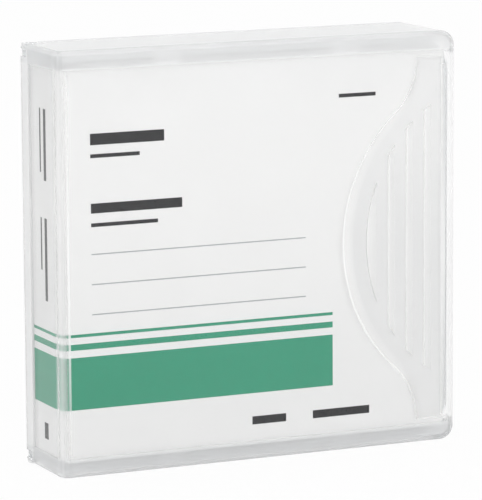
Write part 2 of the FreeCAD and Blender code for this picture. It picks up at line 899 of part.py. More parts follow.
def coil(radius, wire, low, high, turns):
    """A coil spring wound round Z, of square wire that goes round in short even runs."""
    half = wire / 2
    steps = turns * COIL_SIDES
    path = []
    for step in range(steps + 1):
        angle = 2 * math.pi * step / COIL_SIDES
        rise = low + half + (high - low - wire) * step / steps
        path.append(Vector(radius * math.cos(angle), radius * math.sin(angle), rise))
    corners = [(-half, -half), (half, -half), (half, half), (-half, half), (-half, -half)]
    section = Part.makePolygon([path[0] + Vector(a, 0, b) for a, b in corners])
    return Part.makePolygon(path).makePipeShell([section], True, False, MITRED)


def brake_button():
    """A toothed disc on a hollow stem, which slides in the top half and can't turn there."""
    disc = cylinder("brake_disc_body", "brake_disc", AXIS, ("brake_base", "brake_base + brake_thick"))
    stem = cylinder("brake_stem", "stem_radius", AXIS, ("brake_base", "stem_top"))
    key_reach = ("brake_base", "stem_top - key_drop")
    key = box("brake_key", around("0", "key_half"), around("0", "key_wide"), key_reach)
    base = size("brake_base")
    reach = (base - size("brake_tooth"), base + size("tooth_root"))
    teeth = tooth_ring("brake_teeth", BRAKE_TEETH, BRAKE_SHARE, brake_ring(), reach, shift=0.5)
    bore_reach = ("brake_base + brake_thick + bore_floor", "stem_top + past")
    bore = cylinder("brake_bore", "stem_bore", AXIS, bore_reach)
    return cut("brake_button", fuse("brake_built", disc, stem, key, teeth), bore)


def brake_spring():
    low = size("brake_base") + size("brake_thick") + size("bore_floor")
    high = size("shell_thick") - size("shell_floor") - size("brake_spring_gap")
    return feature("brake_spring", coil(size("brake_coil"), size("brake_wire"), low, high, BRAKE_TURNS))


def brake_release_pad():
    """A small disc on the web with three legs through it, which the drive pushes up."""
    top = "brake_base - pad_gap"
    disc = cylinder("pad_disc", "pad_radius", AXIS, ("web_base + web_thick", top))
    return fuse("brake_release_pad", disc, *leg_bars("pad_leg", "leg_half", ("reel_base + leg_lift", top)))


# ---- Leader pin and its keepers ----


def leader_pin():
    """The steel pin with a flange at each end, which the drive pulls the tape out by."""
    top = "pin_base + pin_long"
    return fuse(
        "leader_pin",
        cylinder("pin_core", "pin_core", PIN, ("pin_base", top)),
        cylinder("pin_foot", "pin_flange", PIN, ("pin_base", "pin_base + pin_flange_thick")),
        cylinder("pin_head", "pin_flange", PIN, (f"{top} - pin_flange_thick", top)),
    )


def leader_pin_clip():
    """The split sleeve that holds the tape's end on the pin."""
    reach = ("pin_base + clip_inset", "pin_base + pin_long - clip_inset")
    ring = cylinder("clip_ring", "clip_radius", PIN, reach)
    bore = cylinder("clip_bore", "pin_core", PIN, ("0", "shell_thick"))
    across = ("pin_x", "pin_x + clip_radius + past")
    slot = box("clip_slot", across, around("pin_y", "clip_slot"), ("0", "shell_thick"))
    return cut("leader_pin_clip", ring, bore, slot)


def leader_pin_springs():
    """Two steel leaves that press on the pin's flanges."""
    y = ("pin_y + pin_flange", "pin_y + pin_flange + leaf_thick")
    x = ("leaf_start", f"{LEAD} - shell_wall")
    low = ("pin_base + leaf_inset", "pin_base + leaf_inset + leaf_wide")
    high = ("pin_base + pin_long - leaf_inset - leaf_wide", "pin_base + pin_long - leaf_inset")
    return fuse("leader_pin_springs", box("low_leaf", x, y, low), box("high_leaf", x, y, high))


def leader_tape():
    """The straight run of tape from the pack's edge to the clip on the pin."""
    thick, inset = size("leader_thick"), size("leader_inset")
    radius = size("pack_radius") + inset + thick / 2
    pin = Vector(size("pin_x"), size("pin_y"), 0)
    turn = math.atan2(pin.y, pin.x) - math.acos(radius / pin.Length)
    start = Vector(radius * math.cos(turn), radius * math.sin(turn), 0)
    run = pin - start
    low = size("reel_base") + size("flange_thick") + inset
    tall = size("flange_space") - 2 * inset
    strip = Part.makeBox(run.Length, thick, tall, Vector(0, -thick / 2, 0))
    strip.rotate(Vector(), Vector(0, 0, 1), math.degrees(math.atan2(run.y, run.x)))
    strip.translate(start + Vector(0, 0, low))
    clip = Part.makeCylinder(size("clip_radius"), size("shell_thick"), pin)
    return feature("leader_tape", strip.cut(clip))


# ---- Access door, switch and memory chip ----


def access_door():
    """A plate that slides inside the door-side wall, with a grip outside and a lug for its spring."""
    tall = ("shell_floor + door_play", f"{ROOF} - door_play")
    plate_x = ("door_left - door_lap", "door_right - door_gap")
    plate = box("door_plate", plate_x, (DOOR_FACE, f"{DOOR_FACE} + door_thick"), tall)
    grip = box(
        "door_grip",
        ("door_right - grip_inset - grip_wide", "door_right - grip_inset"),
        (f"{DOOR_SIDE} + window_play", f"{DOOR_FACE} + bite"),
        ("door_low + window_play", "door_high - window_play"),
    )
    lug = box(
        "door_lug",
        ("door_left - door_lap", "door_left - door_lap + lug_thick"),
        (f"{DOOR_FACE} + door_thick - bite", f"{DOOR_FACE} + lug_reach"),
        ("lug_low", "lug_high"),
    )
    return fuse("access_door", plate, grip, lug)


def door_spring():
    """A torsion spring round its post, one arm on the leading wall and one on the door's lug."""
    wire, low = size("spring_wire"), size("spring_low")
    radius = size("spring_post") + size("spring_play") + wire / 2
    x, y = size("spring_x"), size("spring_y")
    ring = coil(radius, wire, low, size("spring_high"), DOOR_TURNS)
    ring.translate(Vector(x, y, 0))
    wall = size("shell_long") / 2 - size("shell_wall")
    short = Part.makeBox(wall - x - radius, wire, wire, Vector(x + radius, y - wire / 2, low))
    lug_x = size("door_left") - size("door_lap") + size("lug_thick") + wire
    lug_y = size("shell_wall") - size("shell_wide") / 2 + size("lug_reach") - size("spring_play")
    root = Vector(x - radius, y, 0)
    run = Vector(lug_x, lug_y, 0) - root
    arm = Part.makeBox(run.Length, wire, wire, Vector(0, -wire / 2, 0))
    arm.rotate(Vector(), Vector(0, 0, 1), math.degrees(math.atan2(run.y, run.x)))
    arm.translate(root + Vector(0, 0, size("spring_arm")))
    return feature("door_spring", ring.fuse([short, arm]))


def write_protect_switch():
    """A plate that slides inside the rear wall, with a ridged nub in the window."""
    inner = f"{REAR} + shell_wall + switch_gap"
    plate = box(
        "switch_plate",
        (inner, f"{inner} + switch_thick"),
        ("switch_low - switch_lap", "switch_low + switch_tail"),
        ("switch_base", "switch_top"),
    )
    rim = "(switch_rim + switch_gap)"
    nub = box(
        "switch_nub",
        (f"{REAR} + switch_face", f"{inner} + bite"),
        ("switch_low + switch_gap", "switch_low + switch_gap + switch_long"),
        (f"switch_base + {rim}", f"switch_top - {rim}"),
    )
    grooves = []
    for count in range(SWITCH_RIDGES):
        y = f"switch_low + ridge_first + {count}*ridge_pitch"
        groove = (REAR, f"{REAR} + ridge_depth")
        grooves.append(box(f"switch_groove_{count}", groove, (y, f"{y} + ridge_wide"), ("0", "shell_thick")))
    return cut("write_protect_switch", fuse("switch_built", plate, nub), *grooves)


def memory_chip():
    """The board across the rear corner, with its chip."""
    wide, thick = size("board_wide"), size("board_thick")
    die, die_thick = size("die_side"), size("die_thick")
    board = Part.makeBox(wide, thick, size("board_tall"), Vector(-wide / 2, -thick / 2, 0))
    chip = board.fuse(Part.makeBox(die, die_thick, die, Vector(-die / 2, thick / 2, size("die_rise"))))
    chip.rotate(Vector(), Vector(0, 0, 1), -45)
    chip.translate(Vector(size("chip_x"), size("chip_y"), size("shell_floor")))
    return feature("memory_chip", chip.removeSplitter())


# ---- Assembly ----

CASE_PARTS = (case_lid, insert_card, case_tray)
CARTRIDGE_PARTS = (
    shell_bottom,
    shell_top,
    shell_screws,
    reel_hub,
    reel_upper_flange,
    tape_pack,
    reel_drive_plate,
    brake_button,
    brake_spring,
    brake_release_pad,
    leader_pin,
    leader_pin_clip,
    leader_pin_springs,
    leader_tape,
    access_door,
    door_spring,
    write_protect_switch,
    memory_chip,
)

nodes = []
for make in CASE_PARTS + CARTRIDGE_PARTS:
    node = make()
    node.Label = make.__name__
    nodes.append(node)
doc.recompute()

in_tray = Placement(
    Vector(0, size("case_depth") / 2 - size("back_panel") - size("pad_rise"), size("case_height") / 2),
    Rotation(Vector(1, 0, 0), 90),
)
for node in nodes[len(CASE_PARTS):]:
    node.Placement = in_tray * node.Placement
doc.recompute()

for obj in doc.Objects:
    if {"Invalid", "Error"} & set(obj.State):
        raise RuntimeError(f"{obj.Name} couldn't be built")

os.makedirs("parts", exist_ok=True)
for node in nodes:
    shape = node.Shape
    if shape.isNull() or not shape.isValid():
        raise RuntimeError(f"{node.Label} has no valid shape")
    shape.exportStep(f"parts/{node.Label}.step")
    print(f"{node.Label:22s} solids {len(shape.Solids)} volume {shape.Volume:10.2f} mm3")
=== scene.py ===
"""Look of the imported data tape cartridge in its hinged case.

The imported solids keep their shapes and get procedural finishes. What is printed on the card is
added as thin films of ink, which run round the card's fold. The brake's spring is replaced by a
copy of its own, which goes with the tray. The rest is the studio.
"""
import math

import bmesh
import bpy
from mathutils import Matrix, Vector


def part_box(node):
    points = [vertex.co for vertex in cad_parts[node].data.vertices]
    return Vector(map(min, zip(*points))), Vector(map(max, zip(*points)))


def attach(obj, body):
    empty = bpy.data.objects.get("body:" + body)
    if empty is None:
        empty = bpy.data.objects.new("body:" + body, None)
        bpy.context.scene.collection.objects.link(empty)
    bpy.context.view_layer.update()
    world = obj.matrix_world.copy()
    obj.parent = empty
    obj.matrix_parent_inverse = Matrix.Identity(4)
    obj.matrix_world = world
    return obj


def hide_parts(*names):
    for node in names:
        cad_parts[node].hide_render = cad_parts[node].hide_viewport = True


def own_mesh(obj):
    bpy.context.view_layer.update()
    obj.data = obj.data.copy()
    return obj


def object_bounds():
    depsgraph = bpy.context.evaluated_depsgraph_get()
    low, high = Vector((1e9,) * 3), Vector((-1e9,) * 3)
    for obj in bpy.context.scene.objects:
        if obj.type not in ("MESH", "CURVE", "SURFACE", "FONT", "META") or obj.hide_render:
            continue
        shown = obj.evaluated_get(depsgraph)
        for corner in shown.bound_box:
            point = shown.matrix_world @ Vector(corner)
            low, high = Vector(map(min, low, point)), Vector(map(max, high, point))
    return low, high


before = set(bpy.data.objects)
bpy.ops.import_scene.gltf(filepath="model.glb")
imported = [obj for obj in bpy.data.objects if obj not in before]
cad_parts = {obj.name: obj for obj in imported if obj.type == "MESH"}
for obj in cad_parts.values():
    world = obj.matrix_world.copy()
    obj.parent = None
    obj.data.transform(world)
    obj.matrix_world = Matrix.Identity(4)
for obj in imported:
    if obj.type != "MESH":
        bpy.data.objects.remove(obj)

CAD_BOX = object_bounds()
MM = 0.001
HEIGHT = CAD_BOX[1].z - CAD_BOX[0].z
LID_LOW, LID_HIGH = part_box("case_lid")
CARD_LOW, CARD_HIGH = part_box("insert_card")

# Camera: angles in degrees, lens in millimetres, aim and distance in heights of the case
AZIMUTH = -24.4
ELEVATION = 9.43
ROLL = -0.37
AIM_HEIGHT = 0.487
DISTANCE = 8.774
LENS = 264.4

# Studio: each lamp's position and size in heights of the case and its power in watts, and the
# floor's half width in heights
LAMPS = {
    "key": ((0.0, -2.4, 1.5), 2.0, 0.162),
    "side": ((-4.8, 2.4, 3.0), 5.0, 0.43),
}
FILL_STRENGTH = 0.85
WHITE_STRENGTH = 1.0
FLOOR_HALF = 60
FLOOR_GREY = 0.9
FLOOR_GLOW = 0.95

# Clear plastic: its low IOR bends what lies behind it only a little
PLASTIC_IOR = 1.12
PLASTIC_GLOSS = 0.3
CLOUD_SCALE = 30.0
CLOUD_SHADE = 0.01
FINE_SCALE = 900.0
LID_CLEARNESS = 0.985
LID_LAMP_TINT = (0.98, 0.98, 0.98)

# The lid's milkiness, from 0 where it is clear to OPAQUE. The hinge is measured from the spine and
# the card's rear edge, and the tabs from the card's front face and the middle of the case.
OPAQUE = 1.84
EDGE_REACH = 3.2 * MM
EDGE_FADE = [(0.3, 1.0), (1.0, 0.0)]
MARGIN = 5.0 * MM
MARGIN_MILK = 0.8
HINGE_WIDE = 5.4 * MM
HINGE_LAP = 0.8 * MM
TAB_MIDDLE = 0.75 * MM
TAB_HALF = 0.45 * MM
TABS_HALF = 50.0 * MM

# The lid's painted shade, from 0 where it is white to 1 where it has the painted shade colour below:
# as (share of the height, shade) pairs, darker on the bottom band, down the lower front and at the
# top, and on the front panel with its grip as (depth in the wall, shade) pairs, darker on the
# grip's recessed floor. The spine's top and bottom margins, within SPINE_WALL of its face, take
# the full painted shade.
PAINTED_SHADE_COLOUR = (0.90, 0.905, 0.91)
SPINE_WALL = 2.0 * MM
HEIGHT_PAINTED_SHADE = [
    (0.0, 1.0), (0.035, 1.0), (0.045, 0.2), (0.2, 0.28),
    (0.42, 0.32), (0.62, 0.12), (0.85, 0.2), (1.0, 0.5),
]
PANEL_INSET = 2.6 * MM
PANEL_HALF = 50.3 * MM
FRONT_WALL = 1.5 * MM
GRIP_PAINTED_SHADE = [
    (0.0, 0.25), (0.005, 0.25), (0.015, 0.0), (0.06, 0.0), (0.1, 0.2), (0.14, 0.25),
    (0.16, 0.0), (0.3, 0.0), (0.42, 0.4), (0.485, 1.0), (0.51, 1.0), (0.54, 0.0),
]
# How strongly the grip's painted shade and painted highlights show, as (share of the height, strength) pairs
GRIP_FADE = [(0.05, 0.3), (0.25, 0.65), (0.45, 1.0), (0.55, 0.9), (0.72, 0.5), (0.95, 0.25)]

# Painted highlights: milky white lines on the grip's rim and on the left slopes of its ribs, by depth in the
# wall
RIM_HIGHLIGHT = [(0.006, 0.0), (0.012, 1.0), (0.085, 1.0), (0.11, 0.0)]
RIB_HIGHLIGHT_FACING = -0.3
RIB_TOP = 0.1
RIB_FOOT = 0.6
HIGHLIGHT_MILK = 1.6

# Card and print, with the ruled lines in millimetres. The middle of the fold faces FOLD_MIDDLE.
FOLD_RADIUS = 2.0 * MM
HALF_FOLD = FOLD_RADIUS * math.pi / 4
FOLD_MIDDLE = math.radians(225)
FOLD_STEPS = 12
INK_THICK = 0.03 * MM
GREEN = (0.035, 0.335, 0.200)
CHARCOAL = (0.010, 0.010, 0.012)
PALE_GREY = (0.42, 0.44, 0.45)
RULES = 3
FIRST_RULE = 43.0
RULE_PITCH = 8.0
RULE_THICK = 0.3

# Steel and wound tape
STEEL = (0.55, 0.55, 0.54)
TAPE_DARK = (0.020, 0.015, 0.012)
TAPE_LIGHT = (0.045, 0.035, 0.03)
WINDINGS_SCALE = 500.0
WINDINGS_WAVER = 0.6


# ---- Objects ----

def new_object(name, data):
    """An object in the scene, at the origin."""
    thing = bpy.data.objects.new(name, data)
    bpy.context.collection.objects.link(thing)
    return thing


def new_mesh(name, mesh, material):
    """Mesh data with one material, from a bmesh that is used up."""
    data = bpy.data.meshes.new(name)
    mesh.to_mesh(data)
    mesh.free()
    data.materials.append(material)
    return data


# ---- Nodes ----

def new_material(name, **values):
    """A material of one Principled shader, with plain values on its sockets."""
    material = bpy.data.materials.new(name)
    material.use_nodes = True
    shader = material.node_tree.nodes["Principled BSDF"]
    for socket, value in values.items():
        shader.inputs[socket.replace("_", " ")].default_value = value
    return material


def noise(material, scale, detail=3.0, stretch=(1.0, 1.0, 1.0)):
    """Noise over the object's own coordinates, with scale in cells a metre."""
    nodes, links = material.node_tree.nodes, material.node_tree.links
    where = nodes.new("ShaderNodeTexCoord")
    mapping = nodes.new("ShaderNodeMapping")
    mapping.inputs["Scale"].default_value = stretch
    texture = nodes.new("ShaderNodeTexNoise")
    texture.inputs["Scale"].default_value = scale
    texture.inputs["Detail"].default_value = detail
    links.new(where.outputs["Object"], mapping.inputs["Vector"])
    links.new(mapping.outputs["Vector"], texture.inputs["Vector"])
    return texture.outputs["Fac"]


def math_node(owner, operation, first, second=None):
    """One step of arithmetic on factors or numbers, in the nodes of a material or a world."""
    nodes, links = owner.node_tree.nodes, owner.node_tree.links
    node = nodes.new("ShaderNodeMath")
    node.operation = operation
    for socket, value in zip(node.inputs, (first, second)):
        if isinstance(value, (int, float)):
            socket.default_value = value
        elif value is not None:
            links.new(value, socket)
    return node.outputs["Value"]


def combine(owner, operation, *factors):
    """Joins several factors by one operation, such as MULTIPLY or MAXIMUM."""
    result = factors[0]
    for factor in factors[1:]:
        result = math_node(owner, operation, result, factor)
    return result


def inverse(material, factor):
    """One less a factor."""
    return math_node(material, "SUBTRACT", 1.0, factor)


def along(material, output, axis):
    """One part of a texture coordinate: of Object, in metres, or of Normal, from -1 to 1."""
    nodes, links = material.node_tree.nodes, material.node_tree.links
    where = nodes.new("ShaderNodeTexCoord")
    split = nodes.new("ShaderNodeSeparateXYZ")
    links.new(where.outputs[output], split.inputs["Vector"])
    return split.outputs[axis]


def place(material, axis):
    """The object's own coordinate along one axis, in metres."""
    return along(material, "Object", axis)


def away(material, axis, middle):
    """How far the object's own coordinate lies from a middle, in metres."""
    return math_node(material, "ABSOLUTE", math_node(material, "SUBTRACT", place(material, axis), middle))


def near(material, axis, middle, reach):
    """A factor of 1 where the object's own coordinate lies within reach of a middle."""
    return math_node(material, "LESS_THAN", away(material, axis, middle), reach)


def ramp(material, factor, levels):
    """Follows a list of (position, colour) pairs along a factor, straight between them."""
    nodes, links = material.node_tree.nodes, material.node_tree.links
    node = nodes.new("ShaderNodeValToRGB")
    stops = node.color_ramp.elements
    while len(stops) < len(levels):
        stops.new(1.0)
    for stop, (position, colour) in zip(stops, levels):
        stop.position = position
        stop.color = (*colour, 1.0)
    links.new(factor, node.inputs["Fac"])
    return node.outputs["Color"]


def steps(material, factor, levels):
    """Follows a list of (position, value) pairs along a factor, straight between them."""
    return ramp(material, factor, [(position, (value, value, value)) for position, value in levels])


def span(owner, factor, low, high, start=0.0, stop=1.0):
    """Goes from low to high while the factor goes from start to stop."""
    nodes, links = owner.node_tree.nodes, owner.node_tree.links
    node = nodes.new("ShaderNodeMapRange")
    node.inputs["From Min"].default_value = start
    node.inputs["From Max"].default_value = stop
    node.inputs["To Min"].default_value = low
    node.inputs["To Max"].default_value = high
    links.new(factor, node.inputs["Value"])
    return node.outputs["Result"]


def between(material, factor, socket, low, high, start=0.3, stop=0.7):
    """Drives a shader socket from low to high, values or colours, as the factor rises."""
    nodes, links = material.node_tree.nodes, material.node_tree.links
    if isinstance(low, tuple):
        level = ramp(material, factor, [(start, low), (stop, high)])
    else:
        level = span(material, factor, low, high, start, stop)
    links.new(level, nodes["Principled BSDF"].inputs[socket])


def mottle(material, factor, colour, least):
    """Varies the colour between a share of itself, the least, and the whole."""
    between(material, factor, "Base Color", tuple(least * part for part in colour), colour)


def roughen(material, factor, roughness, least, most):
    """Varies the roughness between two shares of itself."""
    between(material, factor, "Roughness", least * roughness, most * roughness)


def bump(material, factor, height, strength):
    """Raises the surface by the factor, with height in metres."""
    nodes, links = material.node_tree.nodes, material.node_tree.links
    node = nodes.new("ShaderNodeBump")
    node.inputs["Strength"].default_value = strength
    node.inputs["Distance"].default_value = height
    links.new(factor, node.inputs["Height"])
    links.new(node.outputs["Normal"], nodes["Principled BSDF"].inputs["Normal"])


def mix_in(material, factor, other):
    """Puts another shader in place of the Principled one as the factor rises."""
    nodes, links = material.node_tree.nodes, material.node_tree.links
    mix = nodes.new("ShaderNodeMixShader")
    links.new(factor, mix.inputs["Fac"])
    links.new(nodes["Principled BSDF"].outputs["BSDF"], mix.inputs[1])
    links.new(other, mix.inputs[2])
    links.new(mix.outputs["Shader"], nodes["Material Output"].inputs["Surface"])


# ---- Clear plastic ----

def let_lamps_through(material, tint):
    """Lamps reach what lies behind the plastic, at the plastic's tint."""
    nodes = material.node_tree.nodes
    path = nodes.new("ShaderNodeLightPath")
    clear = nodes.new("ShaderNodeBsdfTransparent")
    clear.inputs["Color"].default_value = (*tint, 1.0)
    mix_in(material, path.outputs["Is Shadow Ray"], clear.outputs["BSDF"])


def mould_ripple(material):
    """The fine ripple that the mould leaves on clear plastic."""
    bump(material, noise(material, scale=350.0, detail=1.0), height=0.004 * MM, strength=0.3)


def clear_plastic(name, tint, roughness, clearness):
    """Moulded clear or frosted plastic: faint clouding, and a fine ripple of the mould."""
    material = new_material(name, IOR=PLASTIC_IOR, Transmission_Weight=clearness, Coat_Weight=PLASTIC_GLOSS)
    mottle(material, noise(material, CLOUD_SCALE), tint, least=0.99)
    roughen(material, noise(material, FINE_SCALE), roughness, least=0.8, most=1.25)
    mould_ripple(material)
    let_lamps_through(material, tint)
    return material


def box_edges(material):
    """A factor that rises to 1 along the edges of the lid's box."""
    ends = []
    for axis, low, high in zip("XYZ", LID_LOW, LID_HIGH):
        inwards = math_node(material, "SUBTRACT", (high - low) / 2, away(material, axis, (low + high) / 2))
        ends.append(steps(material, math_node(material, "DIVIDE", inwards, EDGE_REACH), EDGE_FADE))
    pairs = [math_node(material, "MULTIPLY", ends[i], ends[i - 1]) for i in range(3)]
    return combine(material, "MAXIMUM", *pairs)


def margins(material):
    """A factor of 1 on the margins at the lid's top and bottom."""
    return math_node(material, "GREATER_THAN", away(material, "Z", HEIGHT / 2), HEIGHT / 2 - MARGIN)


def hinge_bead(material):
    """A factor of 1 on the hinge, along the spine behind the card's edge."""
    beside = math_node(material, "LESS_THAN", place(material, "X"), LID_LOW.x + HINGE_WIDE)
    behind = math_node(material, "GREATER_THAN", place(material, "Y"), CARD_HIGH.y - HINGE_LAP)
    return math_node(material, "MULTIPLY", beside, behind)


def covered_tabs(material):
    """A factor of 1 on the tabs that hold the card, where they lie against its back."""
    behind = near(material, "Y", CARD_LOW.y + TAB_MIDDLE, TAB_HALF)
    across = near(material, "X", 0.0, TABS_HALF)
    upright = near(material, "Z", HEIGHT / 2, (CARD_HIGH.z - CARD_LOW.z) / 2)
    return combine(material, "MULTIPLY", behind, across, upright)


def grip_strength(material, upwards):
    """How strongly the grip's painted shade and painted highlights show: nothing beyond the front panel, and
    less at its ends.
    """
    across = near(material, "X", 0.0, LID_HIGH.x - PANEL_INSET)
    upright = near(material, "Z", HEIGHT / 2, PANEL_HALF)
    return combine(material, "MULTIPLY", across, upright, steps(material, upwards, GRIP_FADE))


def grip_highlights(material, depth, grip):
    """The milkiness of the painted highlights: white lines on the grip's rim and on its ribs' left slopes.
    """
    ribs = combine(
        material, "MULTIPLY",
        math_node(material, "LESS_THAN", along(material, "Normal", "X"), RIB_HIGHLIGHT_FACING),
        math_node(material, "GREATER_THAN", depth, RIB_TOP),
        math_node(material, "LESS_THAN", depth, RIB_FOOT),
    )
    lines = math_node(material, "MAXIMUM", steps(material, depth, RIM_HIGHLIGHT), ribs)
    return combine(material, "MULTIPLY", lines, grip, HIGHLIGHT_MILK)


def lid_milk(material, lines):
    """How milky the lid is, from 0 to OPAQUE."""
    return combine(
        material, "MAXIMUM",
        math_node(material, "MULTIPLY", margins(material), MARGIN_MILK),
        hinge_bead(material),
        box_edges(material),
        math_node(material, "MULTIPLY", covered_tabs(material), OPAQUE),
        # the grip's painted highlights, as milky white lines
        lines,
    )


def lid_painted_shade(material, depth, upwards, grip, lines):
    """How far the lid's colour goes from white to the painted shade colour: painted shade by height, on the
    spine's margins and on the grip's recessed floor, left off under the painted highlights, with a faint
    random clouding.
    """
    panel = combine(material, "MULTIPLY", steps(material, depth, GRIP_PAINTED_SHADE), grip, inverse(material, lines))
    plain = math_node(material, "MULTIPLY", inverse(material, grip), steps(material, upwards, HEIGHT_PAINTED_SHADE))
    spine = math_node(material, "LESS_THAN", place(material, "X"), LID_LOW.x + SPINE_WALL)
    spine_ends = math_node(material, "MULTIPLY", margins(material), spine)
    shade = math_node(material, "MAXIMUM", math_node(material, "ADD", panel, plain), spine_ends)
    cloud = math_node(material, "MULTIPLY", noise(material, CLOUD_SCALE), CLOUD_SHADE)
    return math_node(material, "ADD", shade, cloud)


def clear_lid(name):
    """The lid: clear on its faces, with milky edges, margins and hinge, painted shade by height and in the
    grip's recess, and painted highlights on the grip's rim and ribs.
    """
    material = new_material(name, IOR=PLASTIC_IOR, Coat_Weight=PLASTIC_GLOSS, Coat_Roughness=0.08)
    upwards = math_node(material, "DIVIDE", place(material, "Z"), HEIGHT)
    inwards = math_node(material, "SUBTRACT", place(material, "Y"), LID_LOW.y)
    depth = math_node(material, "DIVIDE", inwards, FRONT_WALL)
    grip = grip_strength(material, upwards)
    # Painted highlights on the grip's rim and ribs, which stay unshaded and milky white
    lines = grip_highlights(material, depth, grip)
    shade = lid_painted_shade(material, depth, upwards, grip, lines)
    between(material, shade, "Base Color", (1.0, 1.0, 1.0), PAINTED_SHADE_COLOUR, start=0.0, stop=1.0)
    milk = lid_milk(material, lines)
    between(material, milk, "Transmission Weight", LID_CLEARNESS, 0.0, start=0.0, stop=OPAQUE)
    between(material, noise(material, FINE_SCALE), "Roughness", 0.04, 0.07)
    mould_ripple(material)
    let_lamps_through(material, LID_LAMP_TINT)
    return material


# ---- Other finishes ----

def moulded(name, colour, roughness=0.45):
    """Opaque moulded plastic with a fine spark-eroded grain."""
    material = new_material(name, IOR=1.49)
    grain = noise(material, scale=2600.0, detail=4.0)
    mottle(material, noise(material, scale=60.0), colour, least=0.97)
    roughen(material, grain, roughness, least=0.85, most=1.15)
    bump(material, grain, height=0.01 * MM, strength=0.5)
    return material


def paper(name, colour):
    """Coated card: fibres in the coating and a slight unevenness of tone."""
    material = new_material(name, IOR=1.45)
    fibres = noise(material, scale=3000.0, detail=4.0, stretch=(1.0, 1.0, 0.3))
    mottle(material, noise(material, scale=45.0), colour, least=0.985)
    between(material, fibres, "Roughness", 0.5, 0.62)
    bump(material, fibres, height=0.006 * MM, strength=0.4)
    return material


def ink(name, colour):
    """Printed ink: the card's fibres show through as a faint mottle."""
    material = new_material(name, IOR=1.48, Specular_IOR_Level=0.12)
    fibres = noise(material, scale=1800.0, detail=4.0)
    mottle(material, fibres, colour, least=0.975)
    between(material, fibres, "Roughness", 0.38, 0.5)
    bump(material, fibres, height=0.002 * MM, strength=0.15)
    return material


def drawn_steel(name):
    """Steel with fine drawn lines."""
    material = new_material(name, Metallic=1.0)
    lines = noise(material, scale=1500.0, stretch=(1.0, 8.0, 1.0))
    mottle(material, lines, STEEL, least=0.85)
    roughen(material, lines, 0.28, least=0.8, most=1.3)
    bump(material, lines, height=0.003 * MM, strength=0.4)
    return material


def tape(name):
    """The pack's edge: thousands of windings, as fine rings round the reel's axis."""
    material = new_material(name, IOR=1.5)
    nodes, links = material.node_tree.nodes, material.node_tree.links
    where = nodes.new("ShaderNodeTexCoord")
    centred = nodes.new("ShaderNodeMapping")
    centred.inputs["Location"].default_value = (0.0, 0.0, -HEIGHT / 2)
    centred.inputs["Scale"].default_value = (1.0, 0.0, 1.0)
    rings = nodes.new("ShaderNodeTexWave")
    rings.wave_type = "RINGS"
    rings.rings_direction = "SPHERICAL"
    rings.inputs["Scale"].default_value = WINDINGS_SCALE
    rings.inputs["Distortion"].default_value = WINDINGS_WAVER
    links.new(where.outputs["Object"], centred.inputs["Vector"])
    links.new(centred.outputs["Vector"], rings.inputs["Vector"])
    windings = rings.outputs["Fac"]
    between(material, windings, "Base Color", TAPE_DARK, TAPE_LIGHT)
    between(material, windings, "Roughness", 0.22, 0.4, start=0.0, stop=1.0)
    bump(material, windings, height=0.01 * MM, strength=0.4)
    return material


def dress(materials):
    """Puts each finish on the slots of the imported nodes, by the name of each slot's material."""
    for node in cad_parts.values():
        for slot in node.material_slots:
            slot.material = materials[slot.material.name]


FINISHES = {
    "lid_clear": clear_lid("clear_lid"),
    "tray_frosted": clear_plastic("frosted_tray", (0.90, 0.915, 0.92), roughness=0.4, clearness=0.45),
    "card_white": paper("card_stock", (0.90, 0.90, 0.895)),
    "shell_grey": moulded("cartridge_shell", (0.70, 0.715, 0.72)),
    "reel_white": moulded("reel_plastic", (0.75, 0.75, 0.73), roughness=0.38),
    "flange_clear": clear_plastic("clear_flange", (0.96, 0.97, 0.97), roughness=0.08, clearness=0.9),
    "tape_brown": tape("wound_tape"),
    "steel": drawn_steel("drawn_steel"),
    "clip_black": moulded("clip_plastic", (0.03, 0.03, 0.032), roughness=0.4),
    "door_grey": moulded("door_plastic", (0.55, 0.57, 0.58)),
    "switch_red": moulded("switch_plastic", (0.50, 0.045, 0.04), roughness=0.4),
    "board_green": moulded("chip_board", (0.03, 0.16, 0.08), roughness=0.35),
    "brake_ivory": moulded("brake_plastic", (0.68, 0.66, 0.60), roughness=0.4),
}


# ---- Print ----

def card_point(way, out):
    """A point of the card's outer face, out in front of it, at a way along it from the fold.

    The way is below zero on the spine and above zero on the front, and the fold is a quarter
    circle in the middle.
    """
    corner = Vector((CARD_LOW.x + FOLD_RADIUS, CARD_LOW.y + FOLD_RADIUS))
    reach = FOLD_RADIUS + out
    if way > HALF_FOLD:
        return Vector((corner.x + way - HALF_FOLD, corner.y - reach))
    if way < -HALF_FOLD:
        return Vector((corner.x - reach, corner.y - way - HALF_FOLD))
    turn = FOLD_MIDDLE + way / FOLD_RADIUS
    return corner + reach * Vector((math.cos(turn), math.sin(turn)))


def film(mesh, start, stop, low, high):
    """Adds a closed film of ink on the card, from start to stop along it and low to high."""
    bends = [HALF_FOLD * (2 * i / FOLD_STEPS - 1) for i in range(FOLD_STEPS + 1)]
    rings = []
    for way in [start, *[bend for bend in bends if start < bend < stop], stop]:
        inner, outer = card_point(way, 0.0), card_point(way, INK_THICK)
        ring = [(*inner, low), (*outer, low), (*outer, high), (*inner, high)]
        rings.append([mesh.verts.new(point) for point in ring])
    for ring, following in zip(rings, rings[1:]):
        for i in range(4):
            j = (i + 1) % 4
            mesh.faces.new((ring[i], ring[j], following[j], following[i]))
    mesh.faces.new(rings[0][::-1])
    mesh.faces.new(rings[-1])


def printed(name, material, fields):
    """One piece of ink for fields of start, stop, low and high in millimetres."""
    mesh = bmesh.new()
    for field in fields:
        film(mesh, *[value * MM for value in field])
    bmesh.ops.recalc_face_normals(mesh, faces=mesh.faces)
    piece = new_object(name, new_mesh(name, mesh, material))
    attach(piece, "lid")


